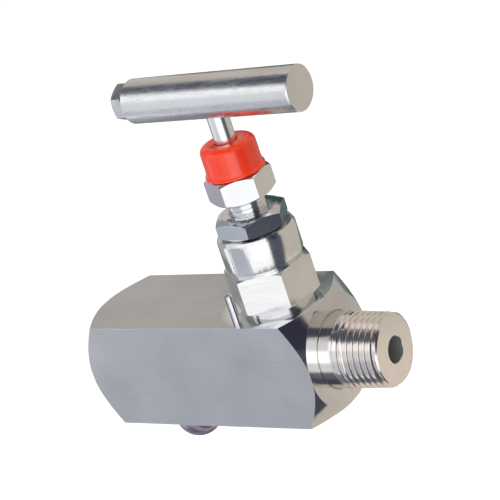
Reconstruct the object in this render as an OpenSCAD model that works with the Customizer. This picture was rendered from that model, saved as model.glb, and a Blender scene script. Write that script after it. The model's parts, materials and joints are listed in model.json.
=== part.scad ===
// Gauge bleed valve: square bar body, needle stem with a T-bar, screwed bleed plug.
// The flow axis is X and the stem axis is parallel to Z.
// The origin lies on the flow axis, where the inlet's plain neck ends and its taper starts.

/* [Body] */
// Side of the square bar
bar_side = 32; // [30:0.5:38]
// Length between the two turned end shoulders
body_len = 76.8; // [72:0.1:90]
// Length of the bar along its four long corners
corner_len = 66.1; // [58:0.1:68]
// Rise of the shoulder's rim above the flat faces of the bar, which cut it off
shoulder_rise = 0.15; // [0.1:0.05:0.5]

/* [Inlet stub] */
// Radius of the plain neck behind the inlet thread
neck_r = 10.7; // [10.2:0.05:11.2]
// Length of the plain neck
neck_len = 4.6; // [2:0.1:7]
// Length of the tapered thread zone
inlet_thread_len = 13.6; // [12:0.1:16]
// Chamfer on the end of the stub
stub_chamfer = 0.8; // [0.2:0.1:1.2]
// Fillet where the stub leaves the shoulder
neck_fillet = 0.3; // [0.2:0.1:1.4]
// Radius of the inlet flow bore
flow_r = 3.8; // [3:0.1:4.5]

/* [Outlet port] */
// Radius of the outlet port's threaded wall
port_r = 9.2; // [8.8:0.05:9.6]
// Depth of the outlet port's round wall
port_depth = 15.6; // [14:0.1:18]
// Chamfer at the mouth of the port
port_chamfer = 1.4; // [0.5:0.1:2]
// Radius of the bore behind the port
outlet_r = 4.5; // [4:0.1:5.5]
// Length of the bore behind the port
outlet_len = 10; // [8:0.5:12]

/* [Seat and bonnet joint] */
// Distance from the middle of the body to the stem axis
bonnet_x = 24; // [22.5:0.1:24.5]
// Height of the seat pocket's floor above the flow axis
seat_floor = 3.6; // [3.2:0.1:4.2]
// Radius of the chamber and of the seat ring pressed into it
chamber_r = 5.3; // [5:0.1:5.6]
// Height of the seat ring
seat_h = 2.6; // [2.2:0.1:3]
// Radius of the passage through the seat
seat_r = 2.2; // [1.8:0.1:2.4]
// Height of the floor of the bonnet's threaded bore above the flow axis
bonnet_floor = 9.4; // [9:0.1:10]
// Radius of the bonnet's threaded bore
bonnet_bore_r = 9; // [8.5:0.1:9.6]
// Thickness of the bonnet's seal ring
bonnet_seal_h = 0.8; // [0.5:0.1:1.2]

/* [Bonnet] */
// Width across the flats of the bonnet's hexagon
bonnet_af = 21.9; // [21.5:0.1:23]
// Turn of the bonnet's hexagon about the stem axis
bonnet_turn = 20; // [0:0.5:59.5]
// Height of the round collar under the hexagon
collar_h = 1.3; // [1:0.1:3]
// Height of the bonnet's hexagon
bonnet_hex_h = 11.5; // [9:0.1:14]
// Radius of the round barrel above the hexagon
barrel_r = 11.2; // [10.8:0.05:11.4]
// Height of the barrel
barrel_h = 9.9; // [8:0.1:12]
// Radius of the packing chamber
packing_r = 4.6; // [4.4:0.05:5]
// Height of the packing chamber's floor above the top face of the body
packing_floor = 3; // [2.5:0.1:4]
// Width of the milled flat on the barrel
flat_w = 4.6; // [3:0.1:6]
// Depth of the milled flat
flat_depth = 0.45; // [0.25:0.05:0.6]

/* [Packing and gland] */
// Thickness of a packing washer
packing_washer_h = 1; // [0.6:0.1:1.5]
// Height of one packing ring
packing_ring_h = 2.2; // [1.5:0.1:2.6]
// Height of the gland bush that presses the packing
gland_bush_h = 3.8; // [3:0.1:6]
// Radius of the gland screw's threaded shank
gland_r = 5.4; // [5.2:0.05:5.8]
// Width across the flats of the gland screw's hexagon
gland_af = 16.4; // [16:0.1:17.5]
// Turn of the gland screw's hexagon
gland_turn = 32.5; // [0:0.5:59.5]
// Height of the gland screw's hexagon
gland_hex_h = 7.2; // [5:0.1:8]
// Bare shank between the lock nut and the gland hexagon
gland_gap = 4.1; // [3.5:0.1:6]
// Radius of the collar that holds the dust cap
cap_seat_r = 6.6; // [6:0.1:7]
// Height of the collar that holds the dust cap
cap_seat_h = 3.6; // [2.5:0.1:4.5]
// Width across the flats of the lock nut
lock_nut_af = 18.3; // [17.5:0.1:20]
// Turn of the lock nut
lock_nut_turn = 54; // [0:0.5:59.5]
// Height of the lock nut
lock_nut_h = 5.7; // [4:0.1:6.5]

/* [Dust cap] */
// Radius of the dust cap
cap_r = 7.8; // [7.4:0.05:8.2]
// Radius of the cap's flared rim
cap_rim_r = 8.4; // [8.2:0.05:8.6]
// Height of the cap
cap_h = 9; // [8:0.1:11]
// Radius of the cap's rounded shoulder
cap_round = 1.9; // [1:0.1:3]
// Wall over the wiper ring
cap_wall = 1.6; // [1:0.1:2]
// Height of the wiper ring inside the cap
wiper_h = 2.2; // [1.5:0.1:3]

/* [Stem] */
// Radius of the stem
stem_r = 3.05; // [2.6:0.05:3.4]
// Radius of the stem's power thread
power_r = 3.9; // [3.6:0.05:4.2]
// Length of the power thread
power_len = 11.4; // [8:0.1:14]
// Lift of the needle from shut to fully open
lift = 3.81; // [2:0.01:4]
// Radius of the needle's shank
needle_r = 1.6; // [1.3:0.05:1.8]
// Length of the needle's shank inside the stem
needle_len = 3.2; // [2.6:0.1:4]
// Radius of the thrust ball
thrust_ball_r = 1.45; // [1.2:0.05:1.5]

/* [Handle] */
// Radius of the T-bar
handle_r = 6.2; // [6:0.1:7]
// Length of the T-bar from the stem axis to its plain end
handle_long = 29.2; // [25:0.1:35]
// Length of the T-bar from the stem axis to its bolt end
handle_short = 27.1; // [22:0.1:32]
// Turn of the T-bar about the stem axis at rest
handle_turn = -2; // [-180:1:180]
// Gap between the dust cap and the T-bar
handle_gap = 7.1; // [5:0.1:12]
// Depth of the stem in the T-bar, past its middle
stem_grip = 2.6; // [1:0.1:3.5]
// Width across the flats of the handle bolt
handle_bolt_af = 9.5; // [9:0.1:11]
// Height of the handle bolt's head
handle_bolt_h = 3.4; // [2.8:0.1:6]
// Radius of the handle bolt's shank
handle_bolt_r = 3; // [2:0.1:3.5]

/* [Lock pin] */
// Radius of the slotted lock pin
pin_r = 1.2; // [1:0.05:1.4]
// Distance from the stem axis to the pin
pin_offset = 14.7; // [14.2:0.1:14.8]
// Direction from the stem axis to the pin
pin_dir = 248; // [240:0.5:258]
// Height of the pin above the top face
pin_out = 9.1; // [6:0.1:11]
// Depth of the pin in the body
pin_in = 6.5; // [4:0.1:8]

/* [Bleed plug] */
// Distance from the middle of the body to the bleed axis, on the outlet side
bleed_x = 18.3; // [17.5:0.1:19.5]
// Radius of the bleed bushing's threaded shank
bushing_r = 5.2; // [4.8:0.1:5.8]
// Length of the bushing's shank in the body
bushing_len = 5.6; // [5:0.1:6.2]
// Width across the flats of the bleed bushing
bushing_af = 14.3; // [13.5:0.1:15.5]
// Height of the bushing's hexagon
bushing_hex_h = 3; // [2.6:0.1:4]
// Thickness of the bushing's seal washer
bleed_seal_h = 0.5; // [0.3:0.1:1]
// Radius of the bleed screw's shank
bleed_screw_r = 2.6; // [2.4:0.05:3]
// Radius of the bleed ball
bleed_ball_r = 1.7; // [1.5:0.05:1.9]
// Radius of the bleed passage
bleed_passage_r = 1.2; // [0.8:0.05:1.4]
// Radius of the vent hole in the bushing
vent_r = 0.8; // [0.6:0.05:1]
// Radius of the bleed screw's domed head
dome_r = 7.2; // [6.5:0.05:7.4]
// Height of the domed head's hexagon
dome_hex_h = 1.9; // [1.5:0.1:3]

/* [Hidden] */

$fn = 96;
eps = 0.01;
// Radial clearance of a running or screwed fit
fit = 0.05;
// Radial clearance of a pressed or sealed fit
press = 0.02;
// Gap between moving faces that stop short of each other
stop_gap = 0.2;
// Rise of a nut's chamfer for each unit of radius
nut_slope = 0.55;
// Taper of a pipe thread on the radius
pipe_taper = 1 / 32;
// Small edge break on turned parts
edge = 0.3;

half = bar_side / 2;
shoulder_x = body_len / 2;
shoulder_r = half + shoulder_rise;
bar_corner_r = half * sqrt(2);
stub_end = shoulder_x + neck_len + inlet_thread_len;
stub_end_r = neck_r - inlet_thread_len * pipe_taper;
datum_x = shoulder_x + neck_len;

seat_top = seat_floor + seat_h;
bonnet_low = bonnet_floor + bonnet_seal_h;
hex_low = half + collar_h;
barrel_low = hex_low + bonnet_hex_h;
barrel_top = barrel_low + barrel_h;
packing_low = half + packing_floor;
ring_low = packing_low + packing_washer_h;
ring_top = ring_low + 3 * packing_ring_h;
bush_low = ring_top + packing_washer_h;
bush_top = bush_low + gland_bush_h;
lock_top = barrel_top + lock_nut_h;
gland_hex_low = lock_top + gland_gap;
gland_hex_top = gland_hex_low + gland_hex_h;
cap_seat_top = gland_hex_top + cap_seat_h;
cap_top = gland_hex_top + cap_h;
gland_lip_h = 1.4;
power_stop = cap_seat_top - gland_lip_h;
power_top = power_stop - lift - stop_gap;
power_low = power_top - power_len;
handle_z = cap_top + handle_gap + handle_r;
stem_top = handle_z + stem_grip;

// The needle's cone and the seat's bevel slope at 45 degrees
bevel = 0.8;
bevel_gap = 0.1;
needle_flat_r = 1;
needle_head_r = seat_r + bevel - bevel_gap;
needle_low = seat_top - bevel - (seat_r - bevel_gap - needle_flat_r);
needle_shoulder = seat_top + 1.2;
stem_low = needle_shoulder + stop_gap;
needle_top = stem_low + needle_len;
ball_z = needle_top + press + thrust_ball_r;
socket_top = ball_z + thrust_ball_r + press;
retainer_z = stem_low + 1;
retainer_h = 0.5;
groove_depth = 0.3;

drill_cone = 0.6;
port_cone = (port_r - outlet_r) * drill_cone;
outlet_end = -shoulder_x + port_depth + port_cone + outlet_len;
rise_r = 2.2;
rise_angle = 12;

bushing_top = -half + bushing_len;
bleed_hex_top = -half - bleed_seal_h;
bushing_low = bleed_hex_top - bushing_hex_h;
head_top = bushing_low - edge;
dome_z = head_top - dome_hex_h;
bleed_seat_h = 2;
bleed_seat_z = bushing_top - bleed_seat_h;
bleed_ball_z = bleed_seat_z - sqrt(pow(bleed_ball_r, 2) - pow(bleed_passage_r, 2)) - fit;
bleed_cup_depth = 0.8;
bleed_screw_top = bleed_ball_z - bleed_ball_r + bleed_cup_depth;
dome_af = 2 * dome_r;

steel = [0.66, 0.67, 0.7];
bright_steel = [0.8, 0.8, 0.83];
dark_steel = [0.45, 0.47, 0.5];
seal_white = [0.92, 0.91, 0.88];
graphite = [0.2, 0.2, 0.21];
cap_red = [0.86, 0.2, 0.13];

// Puts a piece that is drawn from the middle of the body into the part's frame
module placed() {
    translate([-datum_x, 0, 0]) children();
}

// Places a piece on the stem axis
module on_stem(z = 0) {
    placed() translate([bonnet_x, 0, z]) children();
}

// Places a piece on the bleed axis
module on_bleed(z = 0) {
    placed() translate([-bleed_x, 0, z]) children();
}

// Turns a piece that is drawn along Z so that it lies along X
module along_x() {
    rotate([0, 90, 0]) children();
}

// Ring with a plain bore
module ring(outer, inner, h) {
    difference() {
        cylinder(h = h, r = outer);
        translate([0, 0, -1]) cylinder(h = h + 2, r = inner);
    }
}

// Hexagon blank, chamfered down to top_r and low_r
module hex_blank(af, h, top_r, low_r) {
    corner = af / sqrt(3);
    wide = corner + 1;
    intersection() {
        cylinder(h = h, r = corner, $fn = 6);
        rotate_extrude() polygon([
            [0, 0], [low_r, 0], [wide, (wide - low_r) * nut_slope],
            [wide, h - (wide - top_r) * nut_slope], [top_r, h], [0, h]
        ]);
    }
}

// Turned blank with a chamfer at each end
module turned(r, h, top_c, low_c) {
    rotate_extrude() polygon([
        [0, 0], [r - low_c, 0], [r, low_c], [r, h - top_c], [r - top_c, h], [0, h]
    ]);
}

// Points of a fillet between a shoulder at z = 0 and a neck of radius r
function fillet_points(r, f, n = 6) = [
    for (i = [0:n]) [r + f - f * sin(90 * i / n), f - f * cos(90 * i / n)]
];

// Square bar whose two ends are turned to cones
module bar_blank() {
    slope = (bar_corner_r - shoulder_r) / (body_len - corner_len) * 2;
    over = 1;
    cone_x = corner_len / 2 - over / slope;
    intersection() {
        cube([body_len, bar_side, bar_side], center = true);
        along_x() rotate_extrude() polygon([
            [0, -shoulder_x], [shoulder_r, -shoulder_x], [bar_corner_r + over, -cone_x],
            [bar_corner_r + over, cone_x], [shoulder_r, shoulder_x], [0, shoulder_x]
        ]);
    }
}

// Inlet stub with its fillet, plain neck and tapered thread zone
module inlet_stub() {
    translate([shoulder_x, 0, 0]) along_x() rotate_extrude() polygon(concat(
        [[0, -1], [neck_r + neck_fillet, -1]],
        fillet_points(neck_r, neck_fillet),
        [
            [neck_r, neck_len],
            [stub_end_r, neck_len + inlet_thread_len - stub_chamfer],
            [stub_end_r - stub_chamfer, neck_len + inlet_thread_len],
            [0, neck_len + inlet_thread_len]
        ]
    ));
}

// Round passages along the flow axis
module flow_passages() {
    throat = 9.5;
    translate([bonnet_x + throat, 0, 0]) along_x()
        cylinder(h = stub_end - bonnet_x - throat + 1, r = flow_r);
    translate([bonnet_x - seat_r, 0, 0]) along_x()
        cylinder(h = throat + seat_r + 1, r = seat_r);
    translate([stub_end - 0.4, 0, 0]) along_x()
        cylinder(h = 0.5, r1 = flow_r, r2 = flow_r + 0.5);
    translate([bonnet_x, 0, 0]) cylinder(h = seat_floor + 1, r = seat_r);
}

// Outlet port, drilled from its end face, and the slanted rise to the chamber
module outlet_passages() {
    face = -shoulder_x;
    translate([face, 0, 0]) along_x() rotate_extrude() polygon([
        [0, -1], [port_r + port_chamfer, -1], [port_r + port_chamfer, 0],
        [port_r, port_chamfer], [port_r, port_depth], [outlet_r, port_depth + port_cone],
        [outlet_r, port_depth + port_cone + outlet_len],
        [0, port_depth + port_cone + outlet_len + outlet_r * drill_cone]
    ]);
    rise_x = outlet_end - 2;
    translate([rise_x, 0, 0]) rotate([0, 90 - rise_angle, 0])
        cylinder(h = (bonnet_x - rise_x - chamber_r / 2) / cos(rise_angle), r = rise_r);
}

module valve_body() {
    color(steel) placed() difference() {
        union() {
            bar_blank();
            inlet_stub();
        }
        flow_passages();
        outlet_passages();
        translate([bonnet_x, 0, bonnet_floor]) cylinder(h = half, r = bonnet_bore_r);
        translate([bonnet_x, 0, seat_floor]) cylinder(h = half, r = chamber_r);
        translate([bonnet_x, 0, 0]) rotate(pin_dir) translate([pin_offset, 0, half - pin_in])
            cylinder(h = pin_in + 1, r = pin_r + press);
        translate([-bleed_x, 0, -half - 1]) cylinder(h = bushing_len + 1, r = bushing_r + press);
        translate([-bleed_x, 0, -half]) cylinder(h = half, r = bleed_passage_r);
    }
}

module seat_ring() {
    color(bright_steel) on_stem(seat_floor) rotate_extrude() polygon([
        [seat_r, 0], [chamber_r - press, 0], [chamber_r - press, seat_h],
        [seat_r + bevel, seat_h], [seat_r, seat_h - bevel]
    ]);
}

module bonnet_seal() {
    color(graphite) on_stem(bonnet_floor)
        ring(bonnet_bore_r - press, chamber_r + edge, bonnet_seal_h);
}

// Milled flat with rounded upper corners, cut into the barrel's front
module barrel_flat() {
    corner = 1.2;
    h = barrel_h - 1.5;
    rotate([90, 0, 0]) translate([0, 0, barrel_r - flat_depth]) linear_extrude(2) union() {
        translate([-flat_w / 2, -1]) square([flat_w, h - corner + 1]);
        translate([-flat_w / 2 + corner, 0]) square([flat_w - 2 * corner, h]);
        for (side = [-1, 1])
            translate([side * (flat_w / 2 - corner), h - corner]) circle(r = corner);
    }
}

module bonnet() {
    hex_top_r = bonnet_af / 2 - 0.2;
    collar_r = bonnet_af / 2 - 0.9;
    color(steel) on_stem() difference() {
        union() {
            translate([0, 0, bonnet_low])
                turned(bonnet_bore_r - fit, half - bonnet_low + eps, eps, edge);
            translate([0, 0, half]) cylinder(h = collar_h + eps, r = collar_r);
            translate([0, 0, hex_low]) rotate(bonnet_turn)
                hex_blank(bonnet_af, bonnet_hex_h, hex_top_r, bonnet_af / 2 + 0.4);
            translate([0, 0, barrel_low - eps]) rotate_extrude() polygon([
                [0, 0], [barrel_r - 0.7, 0], [barrel_r - 0.7, 0.4], [barrel_r, 1.1],
                [barrel_r, barrel_h - 1.3], [barrel_r - 0.6, barrel_h], [0, barrel_h]
            ]);
        }
        translate([0, 0, bonnet_low - 1]) cylinder(h = barrel_top, r = stem_r + fit);
        translate([0, 0, packing_low]) cylinder(h = barrel_top, r = packing_r);
        translate([0, 0, bush_top - edge]) cylinder(h = barrel_top, r = gland_r + fit);
        translate([0, 0, barrel_low + 0.6]) barrel_flat();
    }
}

module lock_pin() {
    slot_w = 0.5;
    color(bright_steel) on_stem(half - pin_in) rotate(pin_dir) translate([pin_offset, 0, 0])
        difference() {
            turned(pin_r, pin_in + pin_out, 0.2, 0.2);
            translate([0, 0, -1]) cylinder(h = pin_in + pin_out + 2, r = pin_r * 0.55);
            translate([0, -slot_w / 2, -1]) cube([pin_r + 1, slot_w, pin_in + pin_out + 2]);
        }
}

module packing_washer_low() {
    color(dark_steel) on_stem(packing_low)
        ring(packing_r - press, stem_r + fit, packing_washer_h);
}

// Packing ring number i, counted from the lowest
module packing_ring(i) {
    relief = 0.25;
    color(seal_white) on_stem(ring_low + i * packing_ring_h) difference() {
        turned(packing_r - press, packing_ring_h, relief, relief);
        translate([0, 0, -1]) cylinder(h = packing_ring_h + 2, r = stem_r + fit);
    }
}

module packing_washer_top() {
    color(dark_steel) on_stem(ring_top)
        ring(packing_r - press, stem_r + fit, packing_washer_h);
}

module gland_bush() {
    color(bright_steel) on_stem(bush_low) ring(packing_r - fit, stem_r + fit, gland_bush_h);
}

module gland_screw() {
    washer_r = gland_af / 2 - 0.25;
    // The cap's collar starts inside the hexagon, so that the two join over a length
    collar_low = gland_hex_low + 1;
    color(bright_steel) on_stem() difference() {
        union() {
            translate([0, 0, bush_top])
                turned(gland_r, gland_hex_low - bush_top + eps, eps, edge);
            translate([0, 0, gland_hex_low]) rotate(gland_turn)
                hex_blank(gland_af, gland_hex_h, washer_r, washer_r);
            translate([0, 0, collar_low])
                turned(cap_seat_r, cap_seat_top - collar_low, edge, eps);
        }
        translate([0, 0, bush_top - 1])
            cylinder(h = power_stop - bush_top + 1, r = power_r + fit);
        translate([0, 0, bush_top]) cylinder(h = cap_top, r = stem_r + fit);
    }
}

module lock_nut() {
    color(dark_steel) on_stem(barrel_top) difference() {
        rotate(lock_nut_turn)
            hex_blank(lock_nut_af, lock_nut_h, lock_nut_af / 2 - 1.2, lock_nut_af / 2 - 0.5);
        translate([0, 0, -1]) cylinder(h = lock_nut_h + 2, r = gland_r + fit);
    }
}

module wiper_ring() {
    color(graphite) on_stem(cap_seat_top) ring(cap_seat_r - 1, stem_r + fit, wiper_h);
}

module dust_cap() {
    rim_h = 1.1;
    hollow = cap_h - cap_wall;
    n = 8;
    color(cap_red) on_stem(gland_hex_top) difference() {
        rotate_extrude() polygon(concat(
            [[0, 0], [cap_rim_r - 0.2, 0], [cap_rim_r, 0.3], [cap_rim_r, rim_h - 0.3],
                [cap_r, rim_h + 0.6]],
            [for (i = [0:n]) [
                cap_r - cap_round + cap_round * cos(90 * i / n),
                cap_h - cap_round + cap_round * sin(90 * i / n)
            ]],
            [[0, cap_h]]
        ));
        translate([0, 0, -1]) cylinder(h = cap_seat_h + 1, r = cap_seat_r + press);
        translate([0, 0, -1]) cylinder(h = hollow + 1, r = cap_seat_r - 0.6);
        cylinder(h = cap_h + 1, r = stem_r + edge);
    }
}

module needle_tip() {
    color(bright_steel) on_stem() difference() {
        rotate_extrude() polygon([
            [0, needle_low], [needle_flat_r, needle_low],
            [needle_head_r, seat_top], [needle_head_r, needle_shoulder],
            [needle_r, needle_shoulder], [needle_r, needle_top], [0, needle_top]
        ]);
        translate([0, 0, retainer_z - eps]) difference() {
            cylinder(h = retainer_h + 2 * eps, r = needle_r + 1);
            translate([0, 0, -1]) cylinder(h = retainer_h + 3, r = needle_r - groove_depth);
        }
    }
}

module thrust_ball() {
    color(bright_steel) on_stem(ball_z) sphere(r = thrust_ball_r);
}

module tip_retainer() {
    color(dark_steel) on_stem(retainer_z + fit) difference() {
        ring(needle_r + fit + groove_depth - press, needle_r - groove_depth + fit,
            retainer_h - 2 * fit);
        translate([0, -groove_depth, -1]) cube([needle_r * 2, groove_depth * 2, retainer_h + 2]);
    }
}

module stem() {
    color(bright_steel) on_stem() difference() {
        union() {
            translate([0, 0, stem_low]) turned(stem_r, stem_top - stem_low, edge, edge);
            translate([0, 0, power_low]) turned(power_r, power_len, edge, edge);
        }
        translate([0, 0, stem_low - 1]) cylinder(h = socket_top - stem_low + 1, r = needle_r + fit);
        translate([0, 0, retainer_z]) cylinder(h = retainer_h, r = needle_r + fit + groove_depth);
    }
}

module handle_bar() {
    end_c = 0.8;
    color(steel) on_stem(handle_z) rotate(handle_turn) difference() {
        translate([-handle_short, 0, 0]) along_x()
            turned(handle_r, handle_short + handle_long, edge, end_c);
        translate([0, 0, -handle_r - 1])
            cylinder(h = handle_r + 1 + stem_grip, r = stem_r + press);
        translate([-handle_short - 1, 0, 0]) along_x()
            cylinder(h = handle_short + 1, r = handle_bolt_r + fit);
    }
}

// Bolt with a washer face under its hexagon, whose corners point up and down
module handle_bolt() {
    shank = handle_short - stem_r - fit;
    washer_h = 0.35;
    corner = handle_bolt_af / sqrt(3);
    face_r = handle_bolt_af / 2 - 0.1;
    washer_r = handle_bolt_af / 2 - 0.4;
    color(bright_steel) on_stem(handle_z) rotate(handle_turn)
        translate([-handle_short, 0, 0]) union() {
            translate([-handle_bolt_h - washer_h, 0, 0]) along_x()
                hex_blank(handle_bolt_af, handle_bolt_h, corner + edge, face_r);
            translate([-washer_h - eps, 0, 0]) along_x()
                cylinder(h = washer_h + eps, r = washer_r);
            translate([-eps, 0, 0]) along_x() turned(handle_bolt_r, shank + eps, edge, eps);
        }
}

module bleed_seal() {
    color(graphite) on_bleed(-half - bleed_seal_h)
        ring(bushing_af / 2 - edge, bushing_r + press, bleed_seal_h);
}

module bleed_bushing() {
    low_r = bushing_af / 2 - 0.2;
    color(bright_steel) on_bleed() difference() {
        union() {
            translate([0, 0, bushing_low])
                hex_blank(bushing_af, bushing_hex_h, bushing_af / 2 + 0.3, low_r);
            translate([0, 0, bleed_hex_top - eps])
                turned(bushing_r, bushing_top - bleed_hex_top + eps, edge, eps);
        }
        translate([0, 0, bushing_low - 1])
            cylinder(h = bleed_seat_z - bushing_low + 1, r = bleed_screw_r + fit);
        translate([0, 0, -half]) cylinder(h = half, r = bleed_passage_r);
        translate([0, 0, bushing_low + bushing_hex_h / 2]) rotate([-90, 0, 0])
            cylinder(h = bushing_af, r = vent_r);
    }
}

module bleed_ball() {
    color(bright_steel) on_bleed(bleed_ball_z) sphere(r = bleed_ball_r);
}

module bleed_screw() {
    corner = dome_af / sqrt(3);
    color(steel) on_bleed() difference() {
        union() {
            translate([0, 0, dome_z]) intersection() {
                cylinder(h = dome_hex_h, r = corner, $fn = 6);
                rotate_extrude() polygon([
                    [0, 0], [dome_r + 0.1, 0], [corner, (corner - dome_r) * nut_slope],
                    [corner, dome_hex_h], [0, dome_hex_h]
                ]);
            }
            intersection() {
                translate([0, 0, dome_z]) sphere(r = dome_r);
                translate([0, 0, dome_z - dome_r + eps]) cylinder(h = dome_r, r = dome_r + 1);
            }
            translate([0, 0, head_top - eps])
                turned(bleed_screw_r, bleed_screw_top - head_top + eps, edge, eps);
        }
        translate([0, 0, bleed_ball_z]) sphere(r = bleed_ball_r + fit);
        translate([0, 0, bleed_screw_top - 1.6]) cylinder(h = 2, r = vent_r);
    }
}

valve_body();
seat_ring();
bonnet_seal();
bonnet();
lock_pin();
packing_washer_low();
packing_ring(0);  // packing_ring_low
packing_ring(1);  // packing_ring_mid
packing_ring(2);  // packing_ring_top
packing_washer_top();
gland_bush();
gland_screw();
lock_nut();
wiper_ring();
dust_cap();
needle_tip();
thrust_ball();
tip_retainer();
stem();
handle_bar();
handle_bolt();
bleed_seal();
bleed_bushing();
bleed_ball();
bleed_screw();
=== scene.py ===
"""Looks of a gauge bleed valve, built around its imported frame. Lengths are in metres."""

import json
import math

import bmesh
import bpy
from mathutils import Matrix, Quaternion, Vector


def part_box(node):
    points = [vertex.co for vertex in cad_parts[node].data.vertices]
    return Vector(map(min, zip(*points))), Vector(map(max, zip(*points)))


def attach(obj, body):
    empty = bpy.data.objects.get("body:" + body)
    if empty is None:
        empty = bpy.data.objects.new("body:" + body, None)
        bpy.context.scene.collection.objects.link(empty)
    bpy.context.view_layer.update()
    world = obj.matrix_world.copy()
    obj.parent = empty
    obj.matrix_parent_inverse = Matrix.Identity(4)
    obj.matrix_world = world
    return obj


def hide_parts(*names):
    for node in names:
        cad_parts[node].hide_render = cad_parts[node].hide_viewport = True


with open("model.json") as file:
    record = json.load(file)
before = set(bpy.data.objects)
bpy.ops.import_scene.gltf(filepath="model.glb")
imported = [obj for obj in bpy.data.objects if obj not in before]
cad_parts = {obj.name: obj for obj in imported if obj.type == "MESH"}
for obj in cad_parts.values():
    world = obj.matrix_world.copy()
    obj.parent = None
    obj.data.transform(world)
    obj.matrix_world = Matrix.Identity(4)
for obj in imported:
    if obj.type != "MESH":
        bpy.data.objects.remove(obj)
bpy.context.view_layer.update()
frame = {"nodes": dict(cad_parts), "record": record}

MM = 0.001
ORIGIN = Vector((0, 0, 0))
FLOW_AXIS = Vector((1, 0, 0))
STEM_AXIS = Vector((0, 0, 1))

# Main places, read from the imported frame
body_low, body_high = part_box("valve_body")
stem_low, stem_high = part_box("stem")
cap_low, cap_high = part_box("dust_cap")
bleed_low, bleed_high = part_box("bleed_screw")
gland_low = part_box("gland_screw")[0]
nut_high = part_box("lock_nut")[1]
mounts = {mount["name"]: mount for mount in frame["record"]["mounts"]}
stem_x = (stem_low.x + stem_high.x) / 2
bleed_x = (bleed_low.x + bleed_high.x) / 2
stub_end = body_high.x
left_face = body_low.x
neck_radius = mounts["inlet_thread"]["dims"]["r_mm"] * MM
port_radius = mounts["outlet_port"]["dims"]["r_mm"] * MM
on_stem = Vector((stem_x, 0, 0))
on_bleed = Vector((bleed_x, 0, 0))
port_mouth = Vector((left_face, 0, 0))

# Inlet stub and flow bore; the neck's fillet is finer than the solid's, for likeness
NECK_LENGTH = 4.6 * MM
NECK_FILLET = 0.12 * MM
FILLET_STEPS = 6
FLOW_RADIUS = 3.8 * MM
STUB_CHAMFER = 0.8 * MM
BORE_EDGE = 0.12 * MM
BORE_STEPS = 12
shoulder_x = -NECK_LENGTH

# Pipe thread, 14 threads to the inch and a taper of 1 in 16 on the diameter
PIPE_PITCH = 25.4 / 14 * MM
PIPE_TAPER = 1 / 32
PIPE_DEPTH = 1.32 * MM
SHARP_HEIGHT = math.sqrt(3) / 2

# Run-out of the stub's thread: where its root starts to rise, and how steeply
WASHOUT_START = 4.6 * MM
WASHOUT_SLOPE = 0.23

PORT_CHAMFER = 1.4 * MM
PORT_DEPTH = 15.6 * MM
PORT_THREAD_END = 13.5 * MM

# Gland screw, whose thread is drawn shallower than a standard one, for likeness
GLAND_RADIUS = 5.4 * MM
GLAND_PITCH = 1.27 * MM
GLAND_DEPTH = 0.4 * MM
GLAND_GAP = 4.1 * MM
GLAND_FOOT = 0.2 * MM
GLAND_COLUMNS = 96
GLAND_ROWS = 10

# Dust cap; the bead's points are a height and a distance from the rim, in millimetres
CAP_RADIUS = 7.8 * MM
CAP_HOLE = 3.12 * MM
CAP_ROUND = 1.9 * MM
CAP_ROUND_STEPS = 10
CAP_SEAT = 6.62 * MM
CAP_SEAT_HEIGHT = 3.6 * MM
CAP_SEAT_EDGE = 0.15 * MM
CAP_STEP = 0.6 * MM
CAP_TOP_WALL = 1.6 * MM
CAP_BEAD = ((0, -0.35), (0.12, -0.1), (0.4, 0), (0.75, -0.06), (0.95, -0.3), (1.15, -0.36))

# Fineness and tolerances of meshes
COLUMNS = 160
THREAD_ROWS = 14
WELD = 0.0000005
WALL_SLACK = 0.02 * MM
FLAT_ANGLE = math.radians(0.4)
SHARP_ANGLE = math.radians(28)

# How far edges are broken
BLOCK_EDGE = 0.3 * MM
BLOCK_EDGE_SEGMENTS = 3
BONNET_EDGE = 0.2 * MM
BOLT_EDGE = 0.18 * MM
FINE_EDGE = 0.15 * MM
PIN_EDGE = 0.05 * MM


# Mesh helpers

def add_object(name, mesh):
    piece = bpy.data.objects.new(name, mesh)
    bpy.context.scene.collection.objects.link(piece)
    return piece


def piece_from(bm, name):
    """A piece from an edited mesh, with smooth shading that breaks at sharp edges."""
    mesh = bpy.data.meshes.new(name)
    bmesh.ops.recalc_face_normals(bm, faces=bm.faces)
    bm.to_mesh(mesh)
    bm.free()
    for polygon in mesh.polygons:
        polygon.use_smooth = True
    mesh.set_sharp_from_angle(angle=SHARP_ANGLE)
    return add_object(name, mesh)


def merge_points(bm):
    bmesh.ops.remove_doubles(bm, verts=bm.verts, dist=WELD)


def copy_of(node):
    """An editable copy of a node's mesh, with its double points merged."""
    bm = bmesh.new()
    bm.from_mesh(frame["nodes"][node].data)
    merge_points(bm)
    return bm


def finished(name, bm, edge_width, segments=2):
    """A piece with its triangles joined into flat faces and its sharp edges broken."""
    bmesh.ops.dissolve_limit(
        bm, angle_limit=FLAT_ANGLE, verts=bm.verts, edges=bm.edges, delimit=set()
    )
    piece = piece_from(bm, name)
    bevel = piece.modifiers.new("edge_break", "BEVEL")
    bevel.limit_method = "ANGLE"
    bevel.angle_limit = SHARP_ANGLE
    bevel.width = edge_width
    bevel.segments = segments
    bevel.harden_normals = True
    return piece


def finished_copy(node, edge_width):
    return finished(node + "_finished", copy_of(node), edge_width)


def cut_wall(bm, center, axis, radius, span):
    """Deletes the faces of a round wall of that radius, whose ends lie within the span."""
    low, high = span[0] - WALL_SLACK, span[1] + WALL_SLACK

    def on_wall(vertex):
        offset = vertex.co - center
        along = offset.dot(axis)
        around = (offset - axis * along).length
        return abs(around - radius) < WALL_SLACK and low < along < high

    wall = [face for face in bm.faces if all(on_wall(vertex) for vertex in face.verts)]
    wall = [face for face in wall if abs(face.normal.dot(axis)) < 0.5]
    bmesh.ops.delete(bm, geom=wall, context="FACES")


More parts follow.
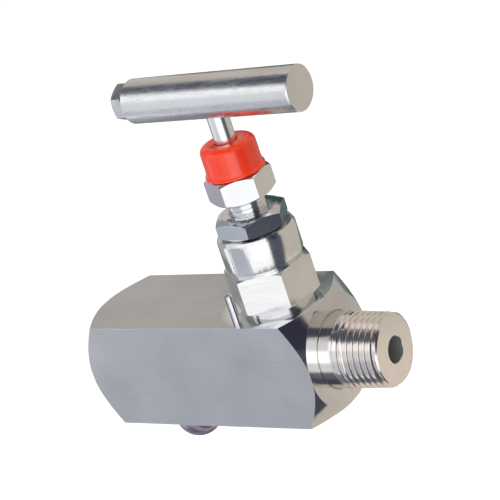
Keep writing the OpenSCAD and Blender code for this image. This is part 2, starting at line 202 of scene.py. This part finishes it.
def frame_around(axis):
    """Two directions across an axis, so that angles turn by the right-hand rule."""
    first = Vector((0, 1, 0)) if abs(axis.x) > 0.5 else Vector((1, 0, 0))
    return first, axis.cross(first)


def place(center, axis, along, radius, angle):
    first, second = frame_around(axis)
    return center + axis * along + (first * math.cos(angle) + second * math.sin(angle)) * radius


def quarter_turn(steps):
    """Angles from 0 to a right angle."""
    return [math.pi / 2 * i / steps for i in range(steps + 1)]


def lathe(bm, center, axis, profile):
    """Turns a profile of (along, radius) points about an axis, and returns its rings."""
    rings = []
    for along, radius in profile:
        rings.append([
            bm.verts.new(place(center, axis, along, radius, 2 * math.pi * i / COLUMNS))
            for i in range(COLUMNS)
        ])
    for low, high in zip(rings, rings[1:]):
        join_rings(bm, low, high)
    return rings


def join_rings(bm, low, high):
    for i in range(COLUMNS):
        j = (i + 1) % COLUMNS
        bm.faces.new((low[i], low[j], high[j], high[i]))


def ridge(phase):
    """0 at the middle of a thread's groove and 1 at the middle of its crest."""
    return abs(1 - 2 * (phase % 1))


def helix(bm, center, axis, pitch, span, radius_at, columns=COLUMNS, rows=THREAD_ROWS):
    """Winds a thread whose rows of vertices follow its helix."""
    low, high = span
    first = math.floor(low / pitch - 1) * rows
    last = math.ceil(high / pitch) * rows
    grid = []
    for i in range(columns + 1):
        turn = i / columns
        angle = 2 * math.pi * turn
        line = []
        for j in range(first, last + 1):
            along = min(max((j / rows + turn) * pitch, low), high)
            radius = radius_at(along, along / pitch - turn)
            line.append(bm.verts.new(place(center, axis, along, radius, angle)))
        grid.append(line)
    for line, following in zip(grid, grid[1:]):
        for j in range(len(line) - 1):
            bm.faces.new((line[j], line[j + 1], following[j + 1], following[j]))
    merge_points(bm)
    bmesh.ops.dissolve_degenerate(bm, edges=bm.edges, dist=WELD)


# Pieces that stand for nodes

def inlet_radius(along, phase):
    """Outer radius of the inlet stub: taper, groove, run-out towards the neck, end chamfer."""
    crest = neck_radius - max(along, 0) * PIPE_TAPER
    groove = neck_radius - along * PIPE_TAPER - PIPE_DEPTH
    groove += max(WASHOUT_START - along, 0) * WASHOUT_SLOPE
    groove += ridge(phase) * SHARP_HEIGHT * PIPE_PITCH
    end_radius = neck_radius - stub_end * PIPE_TAPER - STUB_CHAMFER + (stub_end - along)
    return min(crest, groove, end_radius)


def column_of(vertex):
    """Number of the vertex's column about the flow axis."""
    return round(math.atan2(vertex.co.z, vertex.co.y) / (2 * math.pi / COLUMNS)) % COLUMNS


def neck_fillet():
    """Profile of the fillet between the bar's shoulder and the neck."""
    return [
        (shoulder_x + NECK_FILLET * (1 - math.cos(angle)),
         neck_radius + NECK_FILLET * (1 - math.sin(angle)))
        for angle in quarter_turn(FILLET_STEPS)
    ]


def build_stub():
    """Inlet stub: neck fillet, helical taper thread, end face and the bore's broken edge."""
    bm = bmesh.new()
    span = (shoulder_x + NECK_FILLET, stub_end)
    helix(bm, ORIGIN, FLOW_AXIS, PIPE_PITCH, span, inlet_radius)
    rim = [vertex for vertex in bm.verts if abs(vertex.co.x - stub_end) < WELD]
    rim.sort(key=column_of)
    bore_edge = [(stub_end, FLOW_RADIUS + BORE_EDGE), (stub_end - BORE_EDGE, FLOW_RADIUS)]
    mouth = lathe(bm, ORIGIN, FLOW_AXIS, bore_edge)
    join_rings(bm, rim, mouth[0])
    lathe(bm, ORIGIN, FLOW_AXIS, neck_fillet())
    merge_points(bm)
    return piece_from(bm, "inlet_stub")


def build_bore():
    """Drilled wall of the flow bore, from its mouth to the shoulder."""
    bm = bmesh.new()
    mouth = stub_end - BORE_EDGE
    depths = [mouth + (shoulder_x - mouth) * i / BORE_STEPS for i in range(BORE_STEPS + 1)]
    lathe(bm, ORIGIN, FLOW_AXIS, [(depth, FLOW_RADIUS) for depth in depths])
    return piece_from(bm, "flow_bore")


def port_wall_radius(along, phase):
    """Wall of the outlet port, measured from its mouth inwards."""
    mouth_root = port_radius + PORT_CHAMFER
    runout = max(along - PORT_THREAD_END, 0)
    root = mouth_root - along * PIPE_TAPER - runout
    groove = root - ridge(phase) * SHARP_HEIGHT * PIPE_PITCH
    chamfer = mouth_root - along
    return max(port_radius, groove, chamfer)


def build_port():
    """Threaded lining of the outlet port."""
    bm = bmesh.new()
    helix(bm, port_mouth, FLOW_AXIS, PIPE_PITCH, (0, PORT_DEPTH), port_wall_radius)
    return piece_from(bm, "outlet_port")


def on_port_chamfer(face):
    middle = face.calc_center_median()
    near_mouth = middle.x < left_face + PORT_CHAMFER
    within_chamfer = Vector((0, *middle.yz)).length < port_radius + PORT_CHAMFER
    return near_mouth and within_chamfer and abs(face.normal.x) > 0.5


def build_block():
    """The square bar with its turned ends, without its stub and the port's plain wall."""
    bm = copy_of("valve_body")
    whole = bm.verts[:] + bm.edges[:] + bm.faces[:]
    bmesh.ops.bisect_plane(
        bm, geom=whole, plane_co=(shoulder_x, 0, 0), plane_no=FLOW_AXIS, clear_outer=True,
        dist=WELD
    )
    cut_wall(bm, port_mouth, FLOW_AXIS, port_radius, (PORT_CHAMFER, PORT_DEPTH))
    chamfer = [face for face in bm.faces if on_port_chamfer(face)]
    bmesh.ops.delete(bm, geom=chamfer, context="FACES")
    return finished("bar_block", bm, BLOCK_EDGE, BLOCK_EDGE_SEGMENTS)


def gland_radius(along, phase):
    groove = GLAND_RADIUS - GLAND_DEPTH + ridge(phase) * SHARP_HEIGHT * GLAND_PITCH
    return min(GLAND_RADIUS, groove)


def build_gland():
    """Gland screw, and its helical thread between its foot and its hexagon."""
    bm = copy_of("gland_screw")
    shank_top = nut_high.z + GLAND_GAP
    above_foot = [v.co.z for v in bm.verts if abs(v.co.z - gland_low.z) > GLAND_FOOT]
    span = (min(above_foot), shank_top)
    cut_wall(bm, on_stem, STEM_AXIS, GLAND_RADIUS, (gland_low.z, shank_top))
    screw = finished("gland_screw_finished", bm, BOLT_EDGE)
    thread = bmesh.new()
    helix(thread, on_stem, STEM_AXIS, GLAND_PITCH, span, gland_radius, GLAND_COLUMNS, GLAND_ROWS)
    return screw, piece_from(thread, "gland_thread")


def cap_profile():
    """Half section of the cap: seat, beaded rim, waist, rounded shoulder, hole, inner step."""
    rim = cap_high.x - stem_x
    height = cap_high.z - cap_low.z
    ceiling = height - CAP_TOP_WALL
    seat = [(CAP_SEAT_HEIGHT, CAP_SEAT), (CAP_SEAT_EDGE, CAP_SEAT), (0, CAP_SEAT + CAP_SEAT_EDGE)]
    bead = [(up * MM, rim + out * MM) for up, out in CAP_BEAD]
    waist = [(1.7 * MM, CAP_RADIUS + 0.1 * MM), (2.6 * MM, CAP_RADIUS)]
    shoulder = [
        (height - CAP_ROUND + CAP_ROUND * math.sin(angle),
         CAP_RADIUS - CAP_ROUND + CAP_ROUND * math.cos(angle))
        for angle in quarter_turn(CAP_ROUND_STEPS)
    ]
    lip = [(height, CAP_HOLE + 0.4 * MM), (height - 0.15 * MM, CAP_HOLE + 0.1 * MM)]
    hole = [(height - 0.5 * MM, CAP_HOLE), (ceiling, CAP_HOLE)]
    step = [(ceiling, CAP_SEAT - CAP_STEP), (CAP_SEAT_HEIGHT, CAP_SEAT - CAP_STEP), seat[0]]
    return seat + bead + waist + shoulder + lip + hole + step


def build_cap():
    bm = bmesh.new()
    lathe(bm, Vector((stem_x, 0, cap_low.z)), STEM_AXIS, cap_profile())
    merge_points(bm)
    return piece_from(bm, "cap_moulding")


# Material helpers

# Numbers of the two inputs and the output that a Mix node uses for each kind of data
MIX_SOCKETS = {"FLOAT": (2, 3, 0), "RGBA": (6, 7, 2)}

# The part of a noise's range that carries its contrast
NOISE_RANGE = (0.3, 0.7)

# Worn edges and marks of the steels
EDGE_AGREEMENT = (0.85, 0.98)
EDGE_REACH = 0.15 * MM
EDGE_GAIN = 1.18
CONTRAST = 0.06
MARK_DEPTH = 0.012 * MM


class Nodes:
    """Short calls that add nodes to one material or world."""

    def __init__(self, tree):
        self.tree = tree

    def add(self, kind, **settings):
        node = self.tree.nodes.new(kind)
        for name, value in settings.items():
            setattr(node, name, value)
        return node

    def link(self, output, target):
        self.tree.links.new(output, target)

    def feed(self, sockets, values):
        """Links or sets each socket. A colour gets its opacity here."""
        for socket, value in zip(sockets, values):
            if isinstance(value, bpy.types.NodeSocket):
                self.link(value, socket)
            elif socket.type == "RGBA":
                socket.default_value = (*value, 1)
            else:
                socket.default_value = value

    def math(self, operation, *inputs):
        node = self.add("ShaderNodeMath", operation=operation)
        self.feed(node.inputs, inputs)
        return node.outputs[0]

    def vector(self, operation, *inputs):
        node = self.add("ShaderNodeVectorMath", operation=operation)
        self.feed(node.inputs, inputs)
        scalar = operation in ("LENGTH", "DOT_PRODUCT")
        return node.outputs["Value" if scalar else "Vector"]

    def parts(self, vector):
        """The vector's parts, by the name of their axis."""
        node = self.add("ShaderNodeSeparateXYZ")
        self.link(vector, node.inputs[0])
        return node.outputs

    def position(self):
        return self.add("ShaderNodeTexCoord").outputs["Object"]

    def real_normal(self):
        return self.add("ShaderNodeNewGeometry").outputs["Normal"]

    def noise(self, vector, scale, detail=3.0, roughness=0.6):
        node = self.add("ShaderNodeTexNoise")
        node.inputs["Scale"].default_value = scale
        node.inputs["Detail"].default_value = detail
        node.inputs["Roughness"].default_value = roughness
        self.link(vector, node.inputs["Vector"])
        return node.outputs["Fac"]

    def spread(self, value, low, high, source=NOISE_RANGE):
        """Spreads a value's source range from low to high."""
        node = self.add("ShaderNodeMapRange")
        self.link(value, node.inputs["Value"])
        node.inputs["From Min"].default_value = source[0]
        node.inputs["From Max"].default_value = source[1]
        node.inputs["To Min"].default_value = low
        node.inputs["To Max"].default_value = high
        return node.outputs["Result"]

    def mix(self, factor, first, second, kind="RGBA"):
        """Mixes two colours, or two numbers where the kind is FLOAT."""
        node = self.add("ShaderNodeMix", data_type=kind)
        low, high, result = MIX_SOCKETS[kind]
        self.link(factor, node.inputs["Factor"])
        self.feed((node.inputs[low], node.inputs[high]), (first, second))
        return node.outputs[result]

    def bump(self, height, strength, distance, normal=None):
        node = self.add("ShaderNodeBump")
        node.inputs["Strength"].default_value = strength
        node.inputs["Distance"].default_value = distance
        self.link(height, node.inputs["Height"])
        if normal:
            self.link(normal, node.inputs["Normal"])
        return node.outputs["Normal"]


def edge_mask(nodes, reach):
    """1 close to a sharp edge, found by comparing a rounded normal with the real one."""
    rounded = nodes.add("ShaderNodeBevel", samples=4)
    rounded.inputs["Radius"].default_value = reach
    agreement = nodes.vector("DOT_PRODUCT", rounded.outputs["Normal"], nodes.real_normal())
    return nodes.spread(agreement, 1, 0, source=EDGE_AGREEMENT)


def distance_from(nodes, center, axis):
    """Distance from an axis through the centre."""
    across = [1 - component for component in axis]
    offset = nodes.vector("SUBTRACT", nodes.position(), center)
    return nodes.vector("LENGTH", nodes.vector("MULTIPLY", offset, across))


def turned_vector(nodes, center, axis):
    """Coordinates that vary along an axis and with the distance from it: turning marks."""
    offset = nodes.vector("SUBTRACT", nodes.position(), center)
    combined = nodes.add("ShaderNodeCombineXYZ")
    nodes.link(nodes.vector("DOT_PRODUCT", offset, axis), combined.inputs["X"])
    nodes.link(distance_from(nodes, center, axis), combined.inputs["Y"])
    return combined.outputs["Vector"]


def stretched_vector(nodes, stretch):
    return nodes.vector("MULTIPLY", nodes.position(), stretch)


def about_stem(nodes):
    return turned_vector(nodes, on_stem, STEM_AXIS)


def about_flow(nodes):
    return turned_vector(nodes, ORIGIN, FLOW_AXIS)


def about_bleed(nodes):
    return turned_vector(nodes, on_bleed, STEM_AXIS)


def along_flow(nodes):
    return stretched_vector(nodes, (0.03, 1, 1))


def drawn_marks(nodes):
    return stretched_vector(nodes, (0.22, 1, 1))


def scuff_marks(nodes):
    return stretched_vector(nodes, (0.15, 1, 1))


def level_marks(nodes):
    return stretched_vector(nodes, (0.05, 0.05, 1))


def principled(name, color, metallic, roughness):
    material = bpy.data.materials.new(name)
    material.use_nodes = True
    shader = material.node_tree.nodes["Principled BSDF"]
    shader.inputs["Base Color"].default_value = (*color, 1)
    shader.inputs["Metallic"].default_value = metallic
    shader.inputs["Roughness"].default_value = roughness
    return material, Nodes(material.node_tree), shader


def worn(color, amount):
    return [min(c * amount, 1) for c in color]


# Materials

def steel(name, color, roughness, marks, mark_scale=2600, strength=0.25, variation=0.05):
    """Bare steel: fine marks in its roughness and bump, cloudy tone, brighter worn edges."""
    material, nodes, shader = principled(name, color, 1.0, roughness)
    grain = nodes.noise(marks(nodes), mark_scale, detail=4.0, roughness=0.65)
    cloud = nodes.noise(nodes.position(), scale=90, detail=3.0, roughness=0.5)
    tone = nodes.mix(nodes.spread(cloud, 0, 1), worn(color, 1 - CONTRAST), worn(color, 1 + CONTRAST))
    tone = nodes.mix(nodes.spread(grain, 0, 0.35), tone, worn(color, 1 - 3 * CONTRAST))
    tone = nodes.mix(edge_mask(nodes, EDGE_REACH), tone, worn(color, EDGE_GAIN))
    nodes.link(tone, shader.inputs["Base Color"])
    uneven = nodes.math("ADD", nodes.spread(grain, -variation, variation),
                        nodes.spread(cloud, -variation / 2, variation / 2))
    nodes.link(nodes.math("ADD", uneven, roughness), shader.inputs["Roughness"])
    nodes.link(nodes.bump(grain, strength, MARK_DEPTH), shader.inputs["Normal"])
    return material


BAR_COLOR = (0.65, 0.65, 0.665)
# The bar's edge colour is partly wear and partly a painted highlight along its edges
BAR_EDGE_WEAR_AND_HIGHLIGHT = (0.95, 0.95, 0.96)
BAR_EDGE_REACH = 0.3 * MM
TURNED_SHARE = 0.4
TURNED_RANGE = (0.12, 0.28)

# Where the polished patch and its painted reflection fade out: distance from the stem, and place along
# the bar
REFLECTION_PAD_AROUND_STEM = (14 * MM, 17 * MM)
REFLECTION_PAD_RIGHT_END = (-14 * MM, -11 * MM)


def pad_with_painted_reflection(nodes, facing):
    """1 on the polished parts of the top face, which are round the stem and at the right end, and
    which also carry a painted reflection.
    """
    on_top = nodes.spread(facing["Z"], 0, 1, source=(0.8, 0.9))
    from_stem = distance_from(nodes, on_stem, STEM_AXIS)
    around_stem = nodes.spread(from_stem, 1, 0, source=REFLECTION_PAD_AROUND_STEM)
    along_bar = nodes.parts(nodes.position())["X"]
    right_end = nodes.spread(along_bar, 0, 1, source=REFLECTION_PAD_RIGHT_END)
    return nodes.math("MULTIPLY", on_top, nodes.math("MAXIMUM", around_stem, right_end))


def bar_tone(nodes, marks, cloud, pad_and_reflection):
    """Cloudy steel, darker in its marks and scuffs. Its edges are brighter, partly from wear and
    partly as a painted highlight. The polished patch is brighter as a painted reflection.
    """
    scuff = nodes.noise(scuff_marks(nodes), scale=420, detail=4.0, roughness=0.6)
    scuffed = nodes.spread(scuff, 0, 0.6, source=(0.48, 0.75))
    tone = nodes.mix(nodes.spread(cloud, 0, 1), worn(BAR_COLOR, 0.87), worn(BAR_COLOR, 1.07))
    tone = nodes.mix(nodes.spread(marks, 0, 0.6), tone, worn(BAR_COLOR, 0.78))
    tone = nodes.mix(scuffed, tone, worn(BAR_COLOR, 0.9))
    # Painted highlight along the edges, laid over their wear.
    tone = nodes.mix(edge_mask(nodes, BAR_EDGE_REACH), tone, BAR_EDGE_WEAR_AND_HIGHLIGHT)
    # Painted reflection: the polished patch is drawn brighter, standing in for the bright hexagon face
    # that the top face mirrors.
    return nodes.mix(pad_and_reflection, tone, worn(BAR_COLOR, 1.3))


def bar_roughness(nodes, ground, turned, cloud, on_end, pad_and_reflection):
    """Satin flats, and a smooth polished patch and turned ends."""
    satin = nodes.spread(ground, 0.3, 0.4)
    smooth_pad = nodes.spread(turned, 0.1, 0.15, source=TURNED_RANGE)
    smooth_end = nodes.spread(turned, 0.07, 0.14, source=TURNED_RANGE)
    flats = nodes.mix(pad_and_reflection, satin, smooth_pad, kind="FLOAT")
    finish = nodes.mix(on_end, flats, smooth_end, kind="FLOAT")
    return nodes.math("ADD", finish, nodes.spread(cloud, -0.02, 0.03))


def bar_steel():
    """Flats ground along their length, ends turned about the flow axis, and a smoother patch on the
    top face whose brighter tone is a painted reflection.
    """
    material, nodes, shader = principled("bar_steel", BAR_COLOR, 1.0, 0.3)
    ground = nodes.noise(along_flow(nodes), scale=3000, detail=5.0, roughness=0.7)
    turned = nodes.noise(about_flow(nodes), scale=1800, detail=3.0, roughness=0.6)
    turned = nodes.math("MULTIPLY", turned, TURNED_SHARE)
    cloud = nodes.noise(nodes.position(), scale=55, detail=3.0, roughness=0.5)
    facing = nodes.parts(nodes.real_normal())
    on_end = nodes.spread(nodes.math("ABSOLUTE", facing["X"]), 0, 1, source=(0.2, 0.4))
    pad_and_reflection = pad_with_painted_reflection(nodes, facing)
    marks = nodes.mix(on_end, ground, turned, kind="FLOAT")
    nodes.link(bar_tone(nodes, marks, cloud, pad_and_reflection), shader.inputs["Base Color"])
    roughness = bar_roughness(nodes, ground, turned, cloud, on_end, pad_and_reflection)
    nodes.link(roughness, shader.inputs["Roughness"])
    relief = nodes.bump(marks, strength=0.22, distance=0.01 * MM)
    nodes.link(relief, shader.inputs["Normal"])
    return material


def cap_plastic():
    """Semi-gloss soft plastic with a faint moulded unevenness."""
    color = (0.78, 0.03, 0.001)
    light = (0.82, 0.036, 0.002)
    material, nodes, shader = principled("cap_plastic", color, 0.0, 0.3)
    shader.inputs["Specular IOR Level"].default_value = 0.7
    cloud = nodes.noise(nodes.position(), scale=160, detail=3.0, roughness=0.5)
    fine = nodes.noise(nodes.position(), scale=1400, detail=3.0, roughness=0.6)
    nodes.link(nodes.mix(nodes.spread(cloud, 0, 1), color, light), shader.inputs["Base Color"])
    nodes.link(nodes.spread(fine, 0.17, 0.24), shader.inputs["Roughness"])
    soft = nodes.bump(cloud, strength=0.2, distance=0.2 * MM)
    relief = nodes.bump(fine, strength=0.06, distance=0.03 * MM, normal=soft)
    nodes.link(relief, shader.inputs["Normal"])
    return material


def plain_seal(name, color, roughness):
    """Packing and seals: soft, matt and slightly mottled."""
    material, nodes, shader = principled(name, color, 0.0, roughness)
    mottle = nodes.noise(nodes.position(), scale=900, detail=4.0, roughness=0.6)
    tone = nodes.mix(nodes.spread(mottle, 0, 1), worn(color, 0.85), worn(color, 1.15))
    nodes.link(tone, shader.inputs["Base Color"])
    uneven = nodes.spread(mottle, roughness - 0.08, roughness + 0.08)
    nodes.link(uneven, shader.inputs["Roughness"])
    relief = nodes.bump(mottle, strength=0.3, distance=0.04 * MM)
    nodes.link(relief, shader.inputs["Normal"])
    return material


# Stage

OBJECT_CENTER = Vector((-0.02, 0, 0.028))
CARD_DISTANCE = 0.42
CARD_CELL = 2
FLOOR_DROP = 0.5
FLOOR_HALF = 4.0
FLOOR_GLOW = 0.55
DIFFUSE_LEVEL = 0.6

TONES = {
    "warm": (0.6, 0.55, 0.48),
    "warm_low": (0.74, 0.66, 0.57),
    "moss": (0.12, 0.17, 0.16),
    "pine": (0.04, 0.075, 0.08),
    "putty": (0.66, 0.61, 0.56),
    "sand": (0.6, 0.54, 0.48),
    "sage": (0.24, 0.27, 0.28),
    "pewter": (0.34, 0.38, 0.4),
    "lavender": (0.46, 0.45, 0.51),
    "slate": (0.2, 0.21, 0.26),
    "cloud": (0.52, 0.55, 0.62),
    "mist": (0.6, 0.64, 0.7),
    "haze": (0.84, 0.86, 0.9),
    "charcoal": (0.085, 0.095, 0.125),
    "night": (0.045, 0.045, 0.07),
    "white_box": (1.25, 1.26, 1.28),
    "white_core": (2.4, 2.4, 2.43),
}

# Name, azimuths, elevations, tone, layer, fades. Angles in degrees, layers in millimetres
CARDS = (
    ("card_right_wall", (-38, 122), (-89, 62), "warm", 0, (8, 8)),
    ("card_right_low", (6, 96), (-89, -26), "warm_low", 1, (8, 3)),
    ("card_back_corner", (88, 120), (-38, 38), "moss", 2, (10, 12)),
    ("card_back_high", (112, 176), (26, 64), "sand", 3, (6, 8)),
    ("card_back_wall", (112, 176), (-14, 40), "putty", 4, (6, 8)),
    ("card_back_strip", (98, 131), (-4, 25), "pine", 5, (3, 3)),
    ("card_back_left", (146, 204), (-8, 46), "pewter", 5.5, (8, 8)),
    ("card_back_low", (106, 170), (-89, -6), "sage", 6, (8, 8)),
    ("card_left_wall", (160, 196), (-89, 12), "lavender", 8, (6, 8)),
    ("card_box_edge", (192, 212), (-38, 2), "white_box", 10, (4, 8)),
    ("card_floor_left", (185, 256), (-89, -36), "slate", 12, (10, 10)),
    ("card_low_left", (203, 250), (-46, -9), "cloud", 14, (6, 10)),
    ("card_box_low", (202, 256), (-18, 24), "haze", 16, (6, 8)),
    ("card_box_high", (200, 268), (16, 48), "white_box", 18, (6, 7)),
    ("card_front_low", (236, 272), (-62, -6), "mist", 20, (6, 8)),
    ("card_front_floor", (264, 344), (-89, -30), "slate", 21, (8, 8)),
    ("card_box_front", (262, 336), (-38, 50), "white_box", 22, (8, 6)),
    ("card_box_core", (282, 326), (-16, 20), "white_core", 23, (8, 8)),
    ("card_overhead", (158, 330), (38, 89), "charcoal", 24, (18, 9)),
    ("card_front_gap", (326, 372), (-89, 74), "charcoal", 26, (6, 8)),
    ("card_gap_core", (332, 368), (2, 36), "night", 28, (7, 8)),
)

# Name, azimuth and elevation in degrees, distance and size in metres, power in watts
LAMPS = (
    ("key_lamp", 285, 38, 0.9, 0.7, 5.0),
    ("fill_lamp", 215, 20, 1.0, 0.8, 2.0),
    ("back_lamp", 70, 45, 1.0, 0.8, 2.0),
)

CAMERA_PLACE = Vector((0.26723, -0.35844, 0.21633))
CAMERA_AIM = Vector((-0.02313, 0, 0.03164))
CAMERA_ROLL = math.radians(18.72)
CAMERA_LENS = 130.3


def direction(azimuth, elevation):
    turn, lift = math.radians(azimuth), math.radians(elevation)
    return Vector((math.cos(turn) * math.cos(lift), math.sin(turn) * math.cos(lift), math.sin(lift)))


def smoothed(value):
    """0 to 1 with soft ends."""
    value = min(max(value, 0.0), 1.0)
    return value * value * (3 - 2 * value)


def inward(value, span, fade):
    """0 at either end of the span and 1 from the fade's width inwards."""
    return smoothed(min(value - span[0], span[1] - value) / fade)


def card_mesh(name, azimuth, elevation, distance, fade):
    """Part of a sphere in cells of about 2 degrees, which keeps how far its edges fade."""
    columns = math.ceil((azimuth[1] - azimuth[0]) / CARD_CELL)
    rows = math.ceil((elevation[1] - elevation[0]) / CARD_CELL)
    points, faces, shades = [], [], []
    for j in range(rows + 1):
        lift = elevation[0] + (elevation[1] - elevation[0]) * j / rows
        for i in range(columns + 1):
            turn = azimuth[0] + (azimuth[1] - azimuth[0]) * i / columns
            points.append(OBJECT_CENTER + direction(turn, lift) * distance)
            shades.append(inward(turn, azimuth, fade[0]) * inward(lift, elevation, fade[1]))
    for j in range(rows):
        for i in range(columns):
            first = j * (columns + 1) + i
            faces.append((first, first + 1, first + columns + 2, first + columns + 1))
    mesh = bpy.data.meshes.new(name)
    mesh.from_pydata(points, [], faces)
    mesh.attributes.new("fade", "FLOAT", "POINT").data.foreach_set("value", shades)
    return mesh


def card_material(name, tone):
    """A glow that fades to clear towards the card's edges, by the mesh's fade attribute."""
    material = bpy.data.materials.new(name)
    material.use_nodes = True
    nodes = Nodes(material.node_tree)
    nodes.tree.nodes.clear()
    shade = nodes.add("ShaderNodeAttribute", attribute_name="fade")
    glow = nodes.add("ShaderNodeEmission")
    glow.inputs["Color"].default_value = (*tone, 1)
    clear = nodes.add("ShaderNodeBsdfTransparent")
    mixed = nodes.add("ShaderNodeMixShader")
    nodes.feed(mixed.inputs, (shade.outputs["Fac"], clear.outputs[0], glow.outputs[0]))
    nodes.link(mixed.outputs[0], nodes.add("ShaderNodeOutputMaterial").inputs["Surface"])
    return material


def add_card(name, azimuth, elevation, tone, layer, fade):
    """A curved studio card that only reflections see. A higher layer hangs in front."""
    mesh = card_mesh(name, azimuth, elevation, CARD_DISTANCE - layer * MM, fade)
    mesh.materials.append(card_material(name, TONES[tone]))
    sheet = add_object(name, mesh)
    sheet.visible_camera = False
    sheet.visible_diffuse = False
    sheet.visible_shadow = False


def sees_background(nodes):
    """1 for camera, glossy and transmission rays."""
    path = nodes.add("ShaderNodeLightPath")
    shown = nodes.math("MAXIMUM", path.outputs["Is Camera Ray"], path.outputs["Is Glossy Ray"])
    return nodes.math("MAXIMUM", shown, path.outputs["Is Transmission Ray"])


def white_world():
    """White where it is seen or reflected, and dimmer where it lights the part."""
    world = bpy.data.worlds.new("white_studio")
    world.use_nodes = True
    bpy.context.scene.world = world
    nodes = Nodes(world.node_tree)
    background = nodes.tree.nodes["Background"]
    background.inputs["Color"].default_value = (1, 1, 1, 1)
    level = nodes.spread(sees_background(nodes), DIFFUSE_LEVEL, 1, source=(0, 1))
    nodes.link(level, background.inputs["Strength"])


def pale_floor():
    """Wide pale floor far below the part, which is held in the air by its inlet thread."""
    level = body_low.z - FLOOR_DROP
    corners = [(-1, -1), (1, -1), (1, 1), (-1, 1)]
    mesh = bpy.data.meshes.new("floor")
    mesh.from_pydata([(x * FLOOR_HALF, y * FLOOR_HALF, level) for x, y in corners], [], [(0, 1, 2, 3)])
    material, nodes, shader = principled("pale_floor", (0.85, 0.85, 0.85), 0.0, 0.9)
    shader.inputs["Emission Color"].default_value = (1, 1, 1, 1)
    glow = nodes.spread(sees_background(nodes), 0, FLOOR_GLOW, source=(0, 1))
    nodes.link(glow, shader.inputs["Emission Strength"])
    mesh.materials.append(material)
    add_object("floor", mesh)


def add_lamp(name, azimuth, elevation, distance, size, power):
    data = bpy.data.lights.new(name, "AREA")
    data.shape = "SQUARE"
    data.size = size
    data.energy = power
    light = bpy.data.objects.new(name, data)
    bpy.context.scene.collection.objects.link(light)
    toward = direction(azimuth, elevation)
    light.location = OBJECT_CENTER + toward * distance
    light.rotation_euler = toward.to_track_quat("Z", "Y").to_euler()
    light.visible_glossy = False


def studio_camera():
    data = bpy.data.cameras.new("camera")
    data.lens = CAMERA_LENS
    data.sensor_width = 36
    data.clip_start = 0.01
    camera = bpy.data.objects.new("camera", data)
    bpy.context.scene.collection.objects.link(camera)
    camera.location = CAMERA_PLACE
    level = (CAMERA_AIM - CAMERA_PLACE).to_track_quat("-Z", "Y")
    camera.rotation_euler = (level @ Quaternion((0, 0, 1), -CAMERA_ROLL)).to_euler()
    bpy.context.scene.camera = camera


def build_stage():
    """Cards for the walls and boxes that the steel reflects, white world, floor, lamps, camera."""
    for row in CARDS:
        add_card(*row)
    white_world()
    pale_floor()
    for row in LAMPS:
        add_lamp(*row)
    studio_camera()
    bpy.context.scene.view_settings.view_transform = "Standard"


# Assembly

def dress(piece, body, node, material):
    """The piece rides on its body, replaces the node and is painted."""
    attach(piece, body)
    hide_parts(node)
    piece.data.materials.clear()
    piece.data.materials.append(material)


def paint_node(node, material):
    """Gives a node that stays its material, without touching its mesh."""
    owner = frame["nodes"][node]
    if not owner.material_slots:
        owner.data.materials.append(material)
    for slot in owner.material_slots:
        slot.material = material


def dress_body():
    threads = steel("thread_steel", (0.86, 0.82, 0.79), 0.14, about_flow, mark_scale=3000)
    drilled = steel("drilled_steel", (0.78, 0.79, 0.81), 0.44, about_flow,
                    mark_scale=2200, strength=0.35)
    dress(build_stub(), "valve", "valve_body", threads)
    dress(build_bore(), "valve", "valve_body", drilled)
    dress(build_port(), "valve", "valve_body", threads)
    dress(build_block(), "valve", "valve_body", bar_steel())


def dress_bonnet():
    fine = steel("bonnet_steel", (0.77, 0.77, 0.77), 0.15, level_marks, strength=0.3)
    bright = steel("pin_steel", (0.78, 0.78, 0.8), 0.13, about_stem)
    dress(finished_copy("bonnet", BONNET_EDGE), "valve", "bonnet", fine)
    dress(finished_copy("lock_pin", PIN_EDGE), "valve", "lock_pin", bright)


def dress_gland():
    bright = steel("gland_steel", (0.78, 0.78, 0.79), 0.12, level_marks, strength=0.2)
    smooth = steel("nut_steel", (0.72, 0.73, 0.74), 0.1, level_marks, strength=0.2)
    for piece in build_gland():
        dress(piece, "valve", "gland_screw", bright)
    dress(finished_copy("lock_nut", FINE_EDGE), "valve", "lock_nut", smooth)
    dress(build_cap(), "valve", "dust_cap", cap_plastic())


def dress_handle():
    satin = steel("handle_steel", (0.75, 0.75, 0.76), 0.28, drawn_marks,
                  mark_scale=1700, strength=0.5, variation=0.1)
    plain = steel("bolt_steel", (0.6, 0.61, 0.62), 0.3, along_flow, mark_scale=1800, strength=0.3)
    polished = steel("stem_steel", (0.8, 0.8, 0.81), 0.2, about_stem, strength=0.15)
    dress(finished_copy("handle_bar", FINE_EDGE), "stem", "handle_bar", satin)
    dress(finished_copy("handle_bolt", BOLT_EDGE), "stem", "handle_bolt", plain)
    paint_node("stem", polished)


def dress_bleed():
    # Painted shade: the screw's steel is given a dark purple-grey colour for its shadowed place under
    # the body.
    turned = steel("bleed_steel", (0.42, 0.37, 0.45), 0.3, about_bleed, mark_scale=1500, strength=0.3)
    bright = steel("bushing_steel", (0.7, 0.7, 0.71), 0.2, about_bleed)
    screw = finished_copy("bleed_screw", FINE_EDGE)
    bushing = finished_copy("bleed_bushing", FINE_EDGE)
    dress(screw, "bleed_plug", "bleed_screw", turned)
    dress(bushing, "valve", "bleed_bushing", bright)


def dress_inner_pieces():
    """Inner pieces keep their solids and get a finish by material slot."""
    finishes = {
        "polished_steel": steel("inner_bright_steel", (0.75, 0.75, 0.77), 0.2, about_stem),
        "dark_steel": steel("inner_dark_steel", (0.5, 0.52, 0.54), 0.25, about_stem),
        "graphite": plain_seal("graphite", (0.06, 0.06, 0.065), 0.55),
        "packing": plain_seal("packing", (0.85, 0.84, 0.8), 0.5),
    }
    for subpart in frame["record"]["subparts"]:
        node = frame["nodes"][subpart["node"]]
        if not node.hide_render and subpart["node"] != "stem":
            paint_node(subpart["node"], finishes[subpart["material_slot"]])


dress_body()
dress_bonnet()
dress_gland()
dress_handle()
dress_bleed()
dress_inner_pieces()
build_stage()
